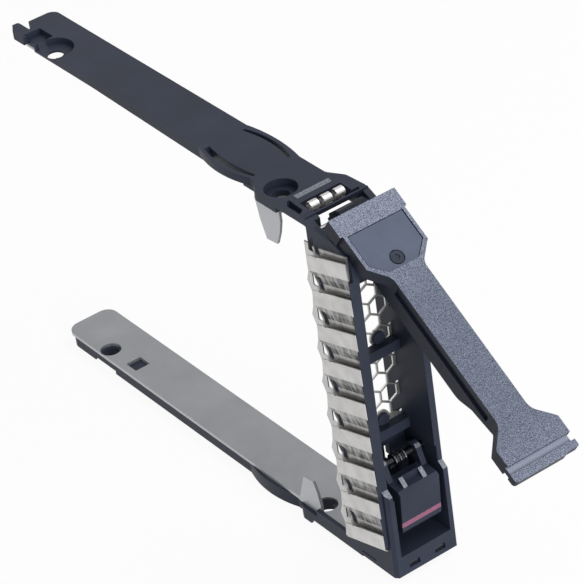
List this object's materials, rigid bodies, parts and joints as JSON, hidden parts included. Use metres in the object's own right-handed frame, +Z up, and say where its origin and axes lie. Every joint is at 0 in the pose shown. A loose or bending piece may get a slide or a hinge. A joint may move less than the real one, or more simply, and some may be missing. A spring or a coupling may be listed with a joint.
{
  "type": "hot_swap_drive_caddy",
  "caption": "Hot swap carrier for a small server drive: slim rails above and below the bay, a vented black bezel with metal spring fingers, and a swing-out lever with a push release.",
  "frame": {"origin": "on the resting plane under the lower rail, below the middle of the bezel and halfway between the two drive screws of a rail", "axes": "+X across the carrier towards its plain side, +Y back along the rails, +Z up"},
  "size_m": [0.0161, 0.1597, 0.0807],
  "materials": {
    "black_plastic": "satin moulded, fine grain",
    "lever_plastic": "coarse spark-eroded texture",
    "rail_steel": "zinc plated sheet, matt",
    "stainless": "bright rolled spring sheet",
    "pin_steel": "bright drawn wire",
    "stripe_red": "satin inlay",
    "light_guide": "smoked clear"
  },
  "bodies": {
    "frame": {"bezel_frame": "black_plastic", "upper_rail": "black_plastic", "lower_rail": "black_plastic", "upper_rail_plate": "rail_steel", "lower_rail_plate": "rail_steel", "mesh_screen": "stainless", "side_finger_strip": "stainless", "top_contact_spring": "stainless", "lever_pivot_pin": "pin_steel", "lever_stop_pin": "pin_steel", "button_pivot_pin": "pin_steel", "button_spring": "pin_steel", "light_window_left": "light_guide", "light_window_right": "light_guide"},
    "lever": {"lever_handle": "lever_plastic", "lever_panel": "black_plastic", "panel_rivet": "black_plastic"},
    "button": {"release_button": "black_plastic", "button_stripe": "stripe_red"}
  },
  "joints": [
    {"name": "lever_swing", "type": "hinge", "parent": "frame", "child": "lever", "pos_m": [0, -0.0608, 0.0719], "axis": [1, 0, 0], "range_deg": [0, 55], "stiffness_Nm_per_rad": 0.01, "springref_deg": -28.65},
    {"name": "button_press", "type": "hinge", "parent": "frame", "child": "button", "pos_m": [0, -0.0583, 0.0233], "axis": [1, 0, 0], "range_deg": [0, 10], "stiffness_Nm_per_rad": 0.02, "springref_deg": -11.46}
  ]
}
